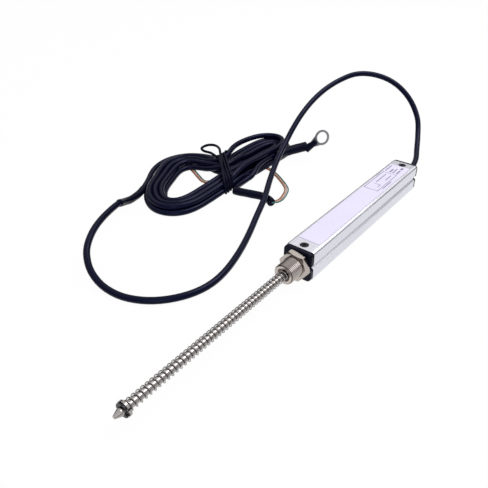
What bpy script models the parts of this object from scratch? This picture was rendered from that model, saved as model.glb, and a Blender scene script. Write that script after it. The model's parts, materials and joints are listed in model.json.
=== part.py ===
"""Spring return linear potentiometer: a rod pushes a wiper carriage along a resistive track.

+X runs along the rod to its tip, +Z is up. The origin is the centre of the housing's
bottom face, which lies on the bench. Lengths are in metres.
"""
import bmesh
import bpy
from math import atan2, ceil, cos, pi, radians, sin, tau
from mathutils import Matrix, Vector

MM = 0.001

# Clearances
SEAT_GAP = 0.3 * MM
SLIDE_GAP = 0.3 * MM

# How far a cutter passes beyond what it cuts, as a share of that size
OVERSHOOT = 1.5

# Travel of the rod; the body and the rod are this much longer than their fixed ends
STROKE = 75.0 * MM
BODY_ALLOWANCE = 57.0 * MM
ROD_ALLOWANCE = 57.3 * MM

# Housing: a square extrusion with a V groove along each side
HOUSING_LENGTH = STROKE + BODY_ALLOWANCE
HOUSING_SIDE = 18.0 * MM
HOUSING_CORNER = 1.6 * MM
HOUSING_WALL = 1.8 * MM
INNER_CORNER = 1.0 * MM
GROOVE_WIDTH = 3.0 * MM
GROOVE_DEPTH = 2.0 * MM
GROOVE_WEB = 2.0 * MM

# End caps: a plate flush with the housing and a plug inside it
FRONT_PLATE = 2.6 * MM
FRONT_PLUG = 9.0 * MM
REAR_PLATE = 2.0 * MM
REAR_PLUG = 8.0 * MM
CAP_CORNER = 2.4 * MM
CAP_EDGE = 0.35 * MM

# Cap screws, countersunk into the top and bottom walls
SCREW_INSET = 3.8 * MM
SCREW_SHANK_RADIUS = 1.25 * MM
SCREW_HEAD_RADIUS = 2.35 * MM
SCREW_HEAD_HEIGHT = 1.3 * MM
SCREW_SPIGOT_ROOM = 0.8 * MM
SCREW_CROSS_WIDTH = 0.6 * MM
SCREW_CROSS_SPAN = 2.4 * MM
SCREW_CROSS_DEPTH = 0.5 * MM

# Threaded bushing with the guide bush pressed into it
THREAD_RADIUS = 6.0 * MM
THREAD_LENGTH = 13.0 * MM
THREAD_CHAMFER = 0.6 * MM
SPIGOT_RADIUS = 4.5 * MM
BUSHING_BACK_SETBACK = 0.5 * MM
SPRING_RECESS_RADIUS = 3.7 * MM
SPRING_RECESS_DEPTH = 4.0 * MM
SEAT_WALL = 3.0 * MM
GUIDE_BUSH_RADIUS = 3.3 * MM

# Lock nut on the thread
NUT_ACROSS_FLATS = 16.0 * MM
NUT_HEIGHT = 4.0 * MM
NUT_CHAMFER_ANGLE = radians(30)
NUT_TURN = radians(-7.5)

# Push rod: rear journal, stop collar, shaft, clip groove and nose
ROD_RADIUS = 2.0 * MM
ROD_REACH = STROKE + ROD_ALLOWANCE
NOSE_LENGTH = 4.2 * MM
NOSE_CYLINDER = 0.9 * MM
NOSE_TIP_RADIUS = 0.8 * MM
COLLAR_RADIUS = 3.0 * MM
COLLAR_LENGTH = 1.2 * MM
JOURNAL_RADIUS = 1.6 * MM
ROD_TAIL = 1.2 * MM
WASHER_RADIUS = 3.9 * MM
WASHER_THICKNESS = 1.2 * MM

# Retaining clips, seated in grooves of the rod
CLIP_THICKNESS = 0.6 * MM
CLIP_GROOVE_DEPTH = 0.45 * MM
FRONT_CLIP_RADIUS = 3.6 * MM
REAR_CLIP_RADIUS = 3.0 * MM
CLIP_MOUTH = radians(38)
CLIP_LOBE = radians(16)
CLIP_RELIEF = 0.8 * MM

# Return spring
SPRING_WIRE_RADIUS = 0.3 * MM
SPRING_PITCH = 2.6 * MM
SPRING_CLOSED_TURNS = 1.0
SPRING_CLOSED_GAP = 0.12 * MM
SPRING_POINTS_PER_TURN = 9

# Carriage, wipers and track board
CARRIAGE_LENGTH = 20.0 * MM
WIPER_ROOM = 1.5 * MM
WIPER_THICKNESS = 0.25 * MM
WIPER_WIDTH = 1.6 * MM
WIPER_SPACING = 4.4 * MM
WIPER_LENGTH = 9.0 * MM
WIPER_TOE = 1.3 * MM
BOARD_WIDTH = 10.6 * MM
BOARD_THICKNESS = 1.2 * MM

# Cable inside the rear cap
CABLE_RADIUS = 2.0 * MM
CABLE_TUCK = 7.6 * MM
COLLAR_RING_RADIUS = 3.1 * MM
COLLAR_RING_LENGTH = 4.0 * MM
LEAD_RADIUS = 0.4 * MM
LEAD_EXIT_SPACING = 1.15 * MM
LEAD_PAD_SPACING = 2.25 * MM
LEAD_STEPS = 6
LEAD_DROP_RUN = 6.0 * MM

# Label film on the top face
LABEL_FRONT_MARGIN = 8.5 * MM
LABEL_REAR_MARGIN = 7.0 * MM
LABEL_SIDE_MARGIN = 2.2 * MM
LABEL_THICKNESS = 0.2 * MM
LABEL_CORNER = 0.8 * MM
LABEL_LIFT = 0.05 * MM

# Pieces on the cable
SLEEVE_RADIUS = 2.5 * MM
SIGNAL_SLEEVE_RADIUS = 2.8 * MM
RING_SLEEVE_RADIUS = 3.3 * MM
CORE_RADIUS = 0.5 * MM
CORE_SPACING = 1.4 * MM
CORE_POINT_SPACING = 7.0 * MM
SLEEVE_POINT_SPACING = 7.0 * MM
CABLE_POINT_SPACING = 6 * CABLE_RADIUS
HANK_POINT_SPACING = 9.0 * MM
TIE_RADIUS = 1.2 * MM
TIE_TURNS = 2
TIE_STANDOFF = 2.1 * MM
TIE_SQUARENESS = 0.8
TIE_POINTS_PER_TURN = 18
HANK_BOTTOM = 1.5 * MM
HANK_TOP = 11.5 * MM
HANK_EDGE = 2.0 * MM

# Ring terminal: the stud hole, the ring round it and the crimped barrel
RING_HOLE_RADIUS = 4.2 * MM
RING_OUTER_RADIUS = 5.8 * MM
RING_THICKNESS = 0.8 * MM
BARREL_RADIUS = 2.2 * MM
BARREL_LENGTH = 5.5 * MM
TONGUE_LENGTH = 9.0 * MM
TONGUE_WIDTH = 5.0 * MM
SLEEVE_LEAD_IN = 5.0 * MM

# Colours as linear values
COLOURS = {
    "housing": ((0.66, 0.66, 0.72), 0.32, 1.0),
    "cap": ((0.012, 0.013, 0.024), 0.45, 0.0),
    "nickel": ((0.50, 0.46, 0.43), 0.28, 1.0),
    "bronze": ((0.42, 0.26, 0.12), 0.55, 1.0),
    "steel": ((0.56, 0.55, 0.54), 0.25, 1.0),
    "spring": ((0.62, 0.61, 0.60), 0.22, 1.0),
    "dark_steel": ((0.10, 0.10, 0.11), 0.4, 1.0),
    "acetal": ((0.75, 0.74, 0.70), 0.5, 0.0),
    "wiper": ((0.70, 0.55, 0.30), 0.3, 1.0),
    "board": ((0.03, 0.12, 0.06), 0.6, 0.0),
    "label": ((0.80, 0.77, 0.92), 0.4, 0.0),
    "cable": ((0.008, 0.009, 0.02), 0.42, 0.0),
    "sleeve": ((0.006, 0.006, 0.012), 0.6, 0.0),
    "brown": ((0.30, 0.12, 0.05), 0.45, 0.0),
    "pink": ((0.62, 0.36, 0.30), 0.45, 0.0),
    "green": ((0.05, 0.20, 0.19), 0.45, 0.0),
    "tinned": ((0.62, 0.62, 0.64), 0.3, 1.0),
}

# Stations along X
HOUSING_FRONT = HOUSING_LENGTH / 2
HOUSING_REAR = -HOUSING_LENGTH / 2
AXIS_HEIGHT = HOUSING_SIDE / 2
CAP_FACE = HOUSING_FRONT + FRONT_PLATE
REAR_FACE = HOUSING_REAR - REAR_PLATE
THREAD_END = CAP_FACE + SEAT_GAP + THREAD_LENGTH
SPIGOT_BACK = HOUSING_FRONT - FRONT_PLUG + BUSHING_BACK_SETBACK
SPRING_SEAT = THREAD_END - SPRING_RECESS_DEPTH
ROD_TIP = HOUSING_FRONT + ROD_REACH
CLIP_FRONT = ROD_TIP - NOSE_LENGTH
CLIP_BACK = CLIP_FRONT - CLIP_THICKNESS
WASHER_FRONT = CLIP_BACK - SEAT_GAP
WASHER_BACK = WASHER_FRONT - WASHER_THICKNESS
COLLAR_FRONT = SPIGOT_BACK - SEAT_GAP
COLLAR_BACK = COLLAR_FRONT - COLLAR_LENGTH
CARRIAGE_FRONT = COLLAR_BACK - SEAT_GAP
CARRIAGE_BACK = CARRIAGE_FRONT - CARRIAGE_LENGTH
REAR_CLIP_FRONT = CARRIAGE_BACK - SEAT_GAP
REAR_CLIP_BACK = REAR_CLIP_FRONT - CLIP_THICKNESS
ROD_BACK = REAR_CLIP_BACK - SEAT_GAP - ROD_TAIL
BOARD_BOTTOM = HOUSING_WALL + SEAT_GAP
BOARD_TOP = BOARD_BOTTOM + BOARD_THICKNESS
CARRIAGE_BOTTOM = BOARD_TOP + WIPER_ROOM
CABLE_INNER_END = REAR_FACE + CABLE_TUCK
BOARD_FRONT = HOUSING_FRONT - FRONT_PLUG - SEAT_GAP
BOARD_REAR = HOUSING_REAR + REAR_PLUG + SEAT_GAP
SPRING_RADIUS = ROD_RADIUS + SLIDE_GAP + SPRING_WIRE_RADIUS
SCREW_LENGTH = HOUSING_SIDE / 2 - SPIGOT_RADIUS - SCREW_SPIGOT_ROOM

# Routes of the loose cable, in millimetres, chosen from the photograph
CABLE_ROUTE = [
    (-82, 0, 9), (-94, -2.5, 10), (-105, -7, 12.5), (-118.5, -13, 18), (-127.5, -18.5, 26),
    (-133, -26, 34), (-135, -34, 41), (-134.5, -43, 47), (-132.5, -53, 51), (-128, -64, 53),
    (-120, -72.5, 53), (-109, -79, 50), (-95, -83, 46), (-80, -85, 40.5), (-65, -85, 34),
    (-52, -84, 27), (-40, -82, 20.5), (-22.5, -77, 14.5), (-2, -68.5, 10), (19, -58, 7.9),
    (37, -51, 5), (54.5, -44, 2.8), (72, -37.5, 2.2), (89.5, -32.5, 2.2), (103.5, -31, 2.2),
    (115, -33, 2.2), (125, -38, 2.2), (133, -45, 2.2), (138.5, -53.5, 2.2), (141.5, -63.5, 2.2),
    (142, -75, 3.2), (140, -85.5, 6), (135.5, -94, 9), (129.5, -100.5, 11.5), (120, -107, 13.5),
    (109.5, -112.5, 14), (98, -117.5, 13.5), (87.3, -121.9, 12.1),
]
CABLE_SLEEVE_ROUTE = [(87, -122, 12), (74, -126, 9.5), (59.6, -129.6, 8)]
SIGNAL_SLEEVE_ROUTE = [(9.5, -87.6, 3), (9.8, -77, 3), (10.8, -64, 3), (13.5, -54, 3)]
RING_SLEEVE_ROUTE = [(-44, -84.8, 4), (-50, -84.4, 4), (-56, -83.4, 4.1)]
CORE_ROUTE = [
    (14, -52.4, 3), (12.6, -49.6, 3), (7, -48.6, 3), (-1, -53.5, 2.6), (-9, -60, 2), (-15, -68, 1.2),
    (-18, -77, 0.6), (-12, -89, 0.6), (2, -100, 0.6), (14, -110, 0.6), (15, -122, 0.6), (9, -137, 0.6),
    (3, -146, 0.6),
]
HANK_OUTLINE = [
    (-0.6, -112.9), (4.5, -115.5), (2, -120), (-6, -125), (-12, -134), (-13, -145), (-6, -154),
    (8, -158), (24, -153), (42, -143), (57, -129), (68, -113), (71, -101), (64, -94), (48, -92.5),
    (30, -94), (18, -96.5), (11.3, -95.5), (6.6, -93.1), (1.9, -91.4), (-6, -89.8), (-18, -89),
    (-34, -89), (-52, -89), (-68, -92), (-77, -102), (-75, -113), (-62, -122), (-42, -124),
    (-24, -119.5), (-12, -113.5), (-5.3, -111.2),
]
HANK_HOLE = [
    (12, -110), (24, -102), (40, -100), (51, -103), (54, -110), (48, -119), (36, -126), (20, -132),
    (9, -128), (8, -118),
]
WAIST_CENTRE = Vector((3.0, -103.0, 0)) * MM
WAIST_HALF_WIDTH = 10.5 * MM
WAIST_ANGLE = radians(70)
TIE_LOW = CORE_ROUTE[-1][2] * MM + CORE_RADIUS + SEAT_GAP + TIE_RADIUS
RING_CENTRE = Vector((-69, -68.4, 18)) * MM
RING_NORMAL = Vector((0.88, 0, 0.475)).normalized()
RING_CLIMB = radians(49)

# Turns a drawing's x, y and depth into the part's Y, Z and X
ALONG_ROD = (pi / 2, 0, pi / 2)


def reset_scene():
    for item in list(bpy.data.objects):
        bpy.data.objects.remove(item, do_unlink=True)
    for name in ("linear_potentiometer", "cutters"):
        collection = bpy.data.collections.new(name)
        bpy.context.scene.collection.children.link(collection)
    return bpy.data.collections["linear_potentiometer"], bpy.data.collections["cutters"]


PARTS, CUTTERS = reset_scene()


def material(key):
    """The named finish, made once."""
    found = bpy.data.materials.get(key)
    if found:
        return found
    colour, roughness, metallic = COLOURS[key]
    made = bpy.data.materials.new(key)
    made.use_nodes = True
    shader = made.node_tree.nodes["Principled BSDF"]
    shader.inputs["Base Color"].default_value = (*colour, 1)
    shader.inputs["Roughness"].default_value = roughness
    shader.inputs["Metallic"].default_value = metallic
    return made


def add_object(name, data, finish=None, place=(0, 0, 0), turn=(0, 0, 0), parent=None):
    """Link data as a part, or as a cutter when it has no finish."""
    item = bpy.data.objects.new(name, data)
    item.location = place
    item.rotation_euler = turn
    if parent:
        item.parent = parent
    if finish:
        data.materials.append(material(finish))
        PARTS.objects.link(item)
    else:
        item.hide_render = True
        item.display_type = "WIRE"
        CUTTERS.objects.link(item)
    return item


def shade(item, limit=35):
    """Smooth the round faces and keep the edges crisp."""
    item.data.shade_smooth()
    item.data.set_sharp_from_angle(angle=radians(limit))


def as_mesh(curve_item):
    """Replace a curve object by its welded mesh."""
    bpy.context.view_layer.update()
    graph = bpy.context.evaluated_depsgraph_get()
    mesh = bpy.data.meshes.new_from_object(curve_item.evaluated_get(graph))
    work = bmesh.new()
    work.from_mesh(mesh)
    bmesh.ops.remove_doubles(work, verts=work.verts, dist=1e-6)
    bmesh.ops.recalc_face_normals(work, faces=work.faces)
    work.to_mesh(mesh)
    work.free()
    name = curve_item.name
    finish = curve_item.data.materials[0].name if curve_item.data.materials else None
    place, turn, parent = curve_item.location.copy(), curve_item.rotation_euler.copy(), curve_item.parent
    bpy.data.objects.remove(curve_item, do_unlink=True)
    mesh.materials.clear()
    return add_object(name, mesh, finish, place, turn, parent)


def plate(name, outlines, depth, finish=None, place=(0, 0, 0), turn=ALONG_ROD, edge=0.0, parent=None):
    """Extrude closed outlines by depth, from place forwards; the first is the outside."""
    curve = bpy.data.curves.new(name, "CURVE")
    curve.dimensions = "2D"
    curve.fill_mode = "BOTH"
    curve.extrude = depth / 2 - edge
    curve.bevel_depth = edge
    curve.offset = -edge
    curve.bevel_resolution = 1
    for outline in outlines:
        spline = curve.splines.new("POLY")
        spline.points.add(len(outline) - 1)
        for point, (across, up) in zip(spline.points, outline):
            point.co = (across, up, 0, 1)
        spline.use_cyclic_u = True
    item = add_object(name, curve, finish, place, turn, parent)
    shift = item.rotation_euler.to_matrix() @ Vector((0, 0, depth / 2))
    item.location = Vector(place) + shift
    return as_mesh(item)


def turned(name, profile, finish=None, place=(0, 0, 0), turn=ALONG_ROD, steps=32, closed=False, parent=None):
    """Turn a profile of (radius, height) points, outer side first from the top down."""
    mesh = bpy.data.meshes.new(name)
    work = bmesh.new()
    corners = [work.verts.new((radius, 0, height)) for radius, height in profile]
    for first, second in zip(corners, corners[1:]):
        work.edges.new((first, second))
    if closed:
        work.edges.new((corners[-1], corners[0]))
    work.to_mesh(mesh)
    work.free()
    item = add_object(name, mesh, finish, place, turn, parent)
    spin = item.modifiers.new("spin", "SCREW")
    spin.steps = steps
    spin.render_steps = steps
    spin.use_merge_vertices = True
    spin.merge_threshold = 0.00001
    spin.use_smooth_shade = True
    return item


def tube(name, points, radius, finish, resolution=2, parent=None):
    """A round bar through the points, with filled ends."""
    curve = bpy.data.curves.new(name, "CURVE")
    curve.dimensions = "3D"
    curve.bevel_depth = radius
    curve.bevel_resolution = resolution
    curve.use_fill_caps = True
    spline = curve.splines.new("POLY")
    spline.points.add(len(points) - 1)
    for point, place in zip(spline.points, points):
        point.co = (*place, 1)
    return add_object(name, curve, finish, parent=parent)


def boolean(item, cutter, operation="DIFFERENCE"):
    step = item.modifiers.new(operation.lower(), "BOOLEAN")
    step.operation = operation
    step.solver = "EXACT"
    step.object = cutter


def notched_square(half_side, corner_radius, notch_half, notch_depth, steps=4):
    """A rounded square with a V notch in the middle of its left and right sides."""
    points = []
    inset = half_side - corner_radius
    for quarter, (side, level) in enumerate(((1, -1), (1, 1), (-1, 1), (-1, -1))):
        for step in range(steps + 1):
            angle = (quarter - 1 + step / steps) * pi / 2
            across, up = corner_radius * cos(angle), corner_radius * sin(angle)
            points.append((side * inset + across, level * inset + up))
        if quarter in (0, 2):
            points.append((side * half_side, level * notch_half))
            points.append((side * (half_side - notch_depth), 0))
            points.append((side * half_side, -level * notch_half))
    return points


def inner_section(inset):
    """The housing's inner outline, shrunk by an even clearance."""
    slope = GROOVE_WIDTH / 2 / GROOVE_DEPTH
    flank_shift = inset * (1 + slope * slope) ** 0.5 / slope
    half_side = HOUSING_SIDE / 2 - HOUSING_WALL - inset
    rib_tip = HOUSING_SIDE / 2 - GROOVE_DEPTH - GROOVE_WEB - flank_shift
    rib_depth = half_side - rib_tip
    return notched_square(half_side, INNER_CORNER, rib_depth * slope, rib_depth)


def outer_section(corner):
    return notched_square(HOUSING_SIDE / 2, corner, GROOVE_WIDTH / 2, GROOVE_DEPTH)


def smooth_route(route, spacing, closed=False):
    """Points about spacing apart on a smooth curve through a route in millimetres."""
    knots = [Vector(knot) * MM for knot in route]
    last = len(knots) if closed else len(knots) - 1
    points = []
    for index in range(last):
        if closed:
            around = [knots[(index + shift) % len(knots)] for shift in (-1, 0, 1, 2)]
        else:
            around = [knots[min(max(index + shift, 0), last)] for shift in (-1, 0, 1, 2)]
        before, start, end, after = around
        count = max(1, ceil((end - start).length / spacing))
        for step in range(count):
            t = step / count
            points.append(
                0.5 * (2 * start + (end - before) * t + (2 * before - 5 * start + 4 * end - after) * t**2
                       + (3 * start - before - 3 * end + after) * t**3))
    if not closed:
        points.append(knots[-1])
    return points


def flat_outline(route, spacing):
    """A closed smooth outline in the XY plane."""
    closed = smooth_route([(across, along, 0) for across, along in route], spacing, closed=True)
    return [(point.x, point.y) for point in closed]


def screw_stations():
    """Each cap screw's name, X station and side: 1 on the top face, -1 on the bottom."""
    for end, station in (("front", HOUSING_FRONT - SCREW_INSET), ("rear", HOUSING_REAR + SCREW_INSET)):
        for side_name, side in (("top", 1), ("bottom", -1)):
            yield f"cap_screw_{end}_{side_name}", station, side


def screw_place(station, side):
    """Where a screw's outer face sits, and the turn that points its shank inwards."""
    height = HOUSING_SIDE if side > 0 else 0
    return (station, 0, height), (0 if side > 0 else pi, 0, 0)


def screw_profile(clearance):
    """A countersunk head and shank, from the outer face down, grown by a clearance."""
    head = SCREW_HEAD_RADIUS + clearance
    shank = SCREW_SHANK_RADIUS + clearance
    reach = SCREW_LENGTH + clearance
    top = clearance
    return [(0, top), (head, top), (head, 0), (shank, -SCREW_HEAD_HEIGHT), (shank, -reach), (0, -reach)]


def cut_screw_holes(item, end):
    for name, station, side in screw_stations():
        if end in name or end == "both":
            place, turn = screw_place(station, side)
            cutter_name = f"{item.name}_{name}_cut"
            boolean(item, turned(cutter_name, screw_profile(SEAT_GAP), place=place, turn=turn, steps=16))


def make_housing():
    outlines = [outer_section(HOUSING_CORNER), inner_section(0)]
    housing = plate("housing", outlines, HOUSING_LENGTH, "housing", (HOUSING_REAR, 0, AXIS_HEIGHT))
    cut_screw_holes(housing, "both")
    shade(housing)


def make_cap(name, plate_back, plate_depth, plug_back, plug_depth, bores):
    """A cap: plate and plug in one moulding, with bores of (radius, from, to) along X."""
    outside = [outer_section(CAP_CORNER)]
    cap = plate(name, outside, plate_depth, "cap", (plate_back, 0, AXIS_HEIGHT), edge=CAP_EDGE)
    inside = [inner_section(SEAT_GAP)]
    plug = plate(f"{name}_plug", inside, plug_depth, place=(plug_back, 0, AXIS_HEIGHT))
    boolean(cap, plug, "UNION")
    for index, (radius, start, end) in enumerate(bores):
        profile = [(0, end - start), (radius, end - start), (radius, 0), (0, 0)]
        boolean(cap, turned(f"{name}_bore_{index}", profile, place=(start, 0, AXIS_HEIGHT)))
    cut_screw_holes(cap, name.split("_")[0])
    shade(cap)


def make_caps():
    beyond = FRONT_PLATE / 2
    spigot_room = SPIGOT_RADIUS + SEAT_GAP
    front_plug_back = HOUSING_FRONT - FRONT_PLUG
    front_bores = [(spigot_room, front_plug_back - beyond, CAP_FACE + beyond)]
    make_cap("front_cap", HOUSING_FRONT + SEAT_GAP, FRONT_PLATE - SEAT_GAP,
             front_plug_back, FRONT_PLUG + beyond, front_bores)
    rear_plug_front = HOUSING_REAR + REAR_PLUG
    pocket = rear_plug_front - COLLAR_RING_LENGTH - 2 * SEAT_GAP
    rear_bores = [(CABLE_RADIUS + SEAT_GAP, REAR_FACE - beyond, rear_plug_front + beyond),
                  (COLLAR_RING_RADIUS + SEAT_GAP, pocket, rear_plug_front + beyond)]
    middle = REAR_PLATE / 2
    make_cap("rear_cap", REAR_FACE, REAR_PLATE - SEAT_GAP, REAR_FACE + middle, REAR_PLUG + middle, rear_bores)


def make_cap_screws():
    """Countersunk screws with a cross recess."""
    for name, station, side in screw_stations():
        place, turn = screw_place(station, side)
        head, shank = SCREW_HEAD_RADIUS, SCREW_SHANK_RADIUS
        profile = [(0, 0), (head, 0), (shank, -SCREW_HEAD_HEIGHT), (shank, -SCREW_LENGTH), (0, -SCREW_LENGTH)]
        screw = turned(name, profile, "dark_steel", place, turn, steps=16)
        span, width = SCREW_CROSS_SPAN / 2, SCREW_CROSS_WIDTH / 2
        arm = [(span, width), (-span, width), (-span, -width), (span, -width)]
        below = Vector(place) - Vector((0, 0, SCREW_CROSS_DEPTH))
        depth = 2 * SCREW_CROSS_DEPTH
        for index, angle in enumerate((0, pi / 2)):
            boolean(screw, plate(f"{name}_slot_{index}", [arm], depth, place=below, turn=(0, 0, angle)))


def make_bushing():
    """The threaded bushing: spigot in the cap, thread in front, spring recess in its mouth."""
    length = THREAD_END - SPIGOT_BACK
    face = CAP_FACE + SEAT_GAP - SPIGOT_BACK
    seat = SPRING_SEAT - SPIGOT_BACK
    bush_room = GUIDE_BUSH_RADIUS + SEAT_GAP
    rod_room = ROD_RADIUS + 2 * SLIDE_GAP
    profile = [
        (SPRING_RECESS_RADIUS, length), (THREAD_RADIUS - THREAD_CHAMFER, length),
        (THREAD_RADIUS, length - THREAD_CHAMFER), (THREAD_RADIUS, face), (SPIGOT_RADIUS, face),
        (SPIGOT_RADIUS, 0), (bush_room, 0), (bush_room, seat - SEAT_WALL), (rod_room, seat - SEAT_WALL),
        (rod_room, seat), (SPRING_RECESS_RADIUS, seat),
    ]
    turned("threaded_bushing", profile, "nickel", (SPIGOT_BACK, 0, AXIS_HEIGHT), closed=True)
    bush_length = seat - SEAT_WALL - SEAT_GAP
    inner = ROD_RADIUS + SLIDE_GAP
    ring = [(inner, bush_length), (GUIDE_BUSH_RADIUS, bush_length), (GUIDE_BUSH_RADIUS, 0), (inner, 0)]
    turned("guide_bush", ring, "bronze", (SPIGOT_BACK, 0, AXIS_HEIGHT), closed=True)


def make_lock_nut():
    """A hexagon nut with chamfered corners on both faces."""
    corner = NUT_ACROSS_FLATS / 2 / cos(pi / 6)
    angles = [NUT_TURN + side * pi / 3 for side in range(6)]
    hexagon = [(corner * cos(angle), corner * sin(angle)) for angle in angles]
    back = CAP_FACE + SEAT_GAP
    nut = plate("lock_nut", [hexagon], NUT_HEIGHT, "nickel", (back, 0, AXIS_HEIGHT))
    flat = NUT_ACROSS_FLATS / 2
    drop = (corner - flat) * sin(NUT_CHAMFER_ANGLE) / cos(NUT_CHAMFER_ANGLE)
    beyond = OVERSHOOT * drop
    outside = flat + OVERSHOOT * (corner - flat)
    rim = [(0, NUT_HEIGHT), (flat, NUT_HEIGHT), (outside, NUT_HEIGHT - beyond), (outside, beyond),
           (flat, 0), (0, 0)]
    boolean(nut, turned("lock_nut_rim", rim, place=(back, 0, AXIS_HEIGHT), steps=36), "INTERSECT")
    bore = THREAD_RADIUS + SEAT_GAP
    profile = [(0, 2 * NUT_HEIGHT), (bore, 2 * NUT_HEIGHT), (bore, -NUT_HEIGHT), (0, -NUT_HEIGHT)]
    boolean(nut, turned("lock_nut_bore", profile, place=(back, 0, AXIS_HEIGHT)))
    shade(nut, 25)


def make_push_rod(carrier):
    """One turned rod: nose, clip groove, shaft, stop collar, journal, rear groove and tail."""
    groove = ROD_RADIUS - CLIP_GROOVE_DEPTH
    rear_groove = JOURNAL_RADIUS - CLIP_GROOVE_DEPTH
    profile = [
        (0, ROD_TIP), (NOSE_TIP_RADIUS, ROD_TIP), (ROD_RADIUS, CLIP_FRONT + SEAT_GAP + NOSE_CYLINDER),
        (ROD_RADIUS, CLIP_FRONT + SEAT_GAP), (groove, CLIP_FRONT + SEAT_GAP), (groove, CLIP_BACK - SEAT_GAP),
        (ROD_RADIUS, CLIP_BACK - SEAT_GAP), (ROD_RADIUS, COLLAR_FRONT), (COLLAR_RADIUS, COLLAR_FRONT),
        (COLLAR_RADIUS, COLLAR_BACK), (JOURNAL_RADIUS, COLLAR_BACK),
        (JOURNAL_RADIUS, REAR_CLIP_FRONT + SEAT_GAP), (rear_groove, REAR_CLIP_FRONT + SEAT_GAP),
        (rear_groove, REAR_CLIP_BACK - SEAT_GAP), (JOURNAL_RADIUS, REAR_CLIP_BACK - SEAT_GAP),
        (JOURNAL_RADIUS, ROD_BACK), (0, ROD_BACK),
    ]
    turned("push_rod", profile, "steel", turn=ALONG_ROD, steps=20, parent=carrier)


def clip_outline(groove_radius, outer_radius):
    """An E-shaped clip: an open ring with three lobes that reach into the groove."""
    lobe = groove_radius + SEAT_GAP
    relief = lobe + CLIP_RELIEF
    outer = [(outer_radius * cos(angle), outer_radius * sin(angle)) for angle in
             (CLIP_MOUTH + step * (tau - 2 * CLIP_MOUTH) / 24 for step in range(25))]
    inner = []
    for centre in (CLIP_MOUTH + CLIP_LOBE, pi, tau - CLIP_MOUTH - CLIP_LOBE):
        for edge, radius in ((-1, relief), (-1, lobe), (1, lobe), (1, relief)):
            angle = centre + edge * CLIP_LOBE
            inner.append((radius * cos(angle), radius * sin(angle)))
    inner = inner[1:-1]
    return outer + inner[::-1]


def make_clips(carrier):
    clips = (
        ("retaining_clip", ROD_RADIUS - CLIP_GROOVE_DEPTH, FRONT_CLIP_RADIUS, CLIP_BACK),
        ("carriage_clip", JOURNAL_RADIUS - CLIP_GROOVE_DEPTH, REAR_CLIP_RADIUS, REAR_CLIP_BACK),
    )
    for name, groove_radius, outer_radius, station in clips:
        outline = clip_outline(groove_radius, outer_radius)
        plate(name, [outline], CLIP_THICKNESS, "dark_steel", (station, 0, 0), parent=carrier)


def make_washer(carrier):
    inner = ROD_RADIUS + SLIDE_GAP
    ring = [(inner, WASHER_THICKNESS), (WASHER_RADIUS, WASHER_THICKNESS), (WASHER_RADIUS, 0), (inner, 0)]
    turned("spring_washer", ring, "steel", (WASHER_BACK, 0, 0), steps=28, closed=True, parent=carrier)


def make_spring():
    """A compression spring whose end turns close up, between the recess and the washer."""
    start = SPRING_SEAT + SEAT_GAP + SPRING_WIRE_RADIUS
    end = WASHER_BACK - SEAT_GAP - SPRING_WIRE_RADIUS
    closed_pitch = 2 * SPRING_WIRE_RADIUS + SPRING_CLOSED_GAP
    open_length = end - start - 2 * SPRING_CLOSED_TURNS * closed_pitch
    open_turns = round(open_length / SPRING_PITCH)
    turns = open_turns + 2 * SPRING_CLOSED_TURNS
    points = []
    for step in range(round(turns * SPRING_POINTS_PER_TURN) + 1):
        turn = step / SPRING_POINTS_PER_TURN
        opened = min(max(turn - SPRING_CLOSED_TURNS, 0), open_turns)
        along = start + (turn - opened) * closed_pitch + opened * open_length / open_turns
        angle = tau * turn
        points.append((along, SPRING_RADIUS * cos(angle), AXIS_HEIGHT + SPRING_RADIUS * sin(angle)))
    tube("return_spring", points, SPRING_WIRE_RADIUS, "spring")


def make_carriage(carrier):
    """The moulded carriage: it fills the upper bore, runs on the ribs and holds the rod."""
    carriage = plate("carriage", [inner_section(SLIDE_GAP)], CARRIAGE_LENGTH, "acetal",
                     (CARRIAGE_BACK, 0, 0), parent=carrier)
    reach = OVERSHOOT * CARRIAGE_LENGTH
    half = HOUSING_SIDE / 2
    floor = CARRIAGE_BOTTOM - AXIS_HEIGHT
    under = [(half, -HOUSING_SIDE), (half, floor), (-half, floor), (-half, -HOUSING_SIDE)]
    centre = (CARRIAGE_FRONT + CARRIAGE_BACK - reach) / 2
    boolean(carriage, plate("carriage_under", [under], reach, place=(centre, 0, AXIS_HEIGHT)))
    bore = JOURNAL_RADIUS + SEAT_GAP
    profile = [(0, reach), (bore, reach), (bore, 0), (0, 0)]
    boolean(carriage, turned("carriage_bore", profile, place=(centre, 0, AXIS_HEIGHT), steps=24))
    shade(carriage)


def make_wipers(carrier):
    """Two sprung fingers under the carriage, one on each track."""
    top = CARRIAGE_BOTTOM - SEAT_GAP - WIPER_THICKNESS / 2 - AXIS_HEIGHT
    tip = BOARD_TOP + SEAT_GAP + WIPER_THICKNESS / 2 - AXIS_HEIGHT
    middle = (CARRIAGE_FRONT + CARRIAGE_BACK) / 2
    half = WIPER_LENGTH / 2
    run = [(-half, top), (0, top), (half - WIPER_TOE, tip), (half, tip + WIPER_THICKNESS)]
    for name, side in (("wiper_left", 1), ("wiper_right", -1)):
        mesh = bpy.data.meshes.new(name)
        work = bmesh.new()
        rows = []
        for across in (-WIPER_WIDTH / 2, WIPER_WIDTH / 2):
            rows.append([work.verts.new((along, across, height)) for along, height in run])
        for index in range(len(run) - 1):
            work.faces.new((rows[0][index], rows[0][index + 1], rows[1][index + 1], rows[1][index]))
        work.to_mesh(mesh)
        work.free()
        finger = add_object(name, mesh, "wiper", (middle, side * WIPER_SPACING / 2, 0), parent=carrier)
        thick = finger.modifiers.new("thick", "SOLIDIFY")
        thick.thickness = WIPER_THICKNESS
        thick.offset = 0


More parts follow.
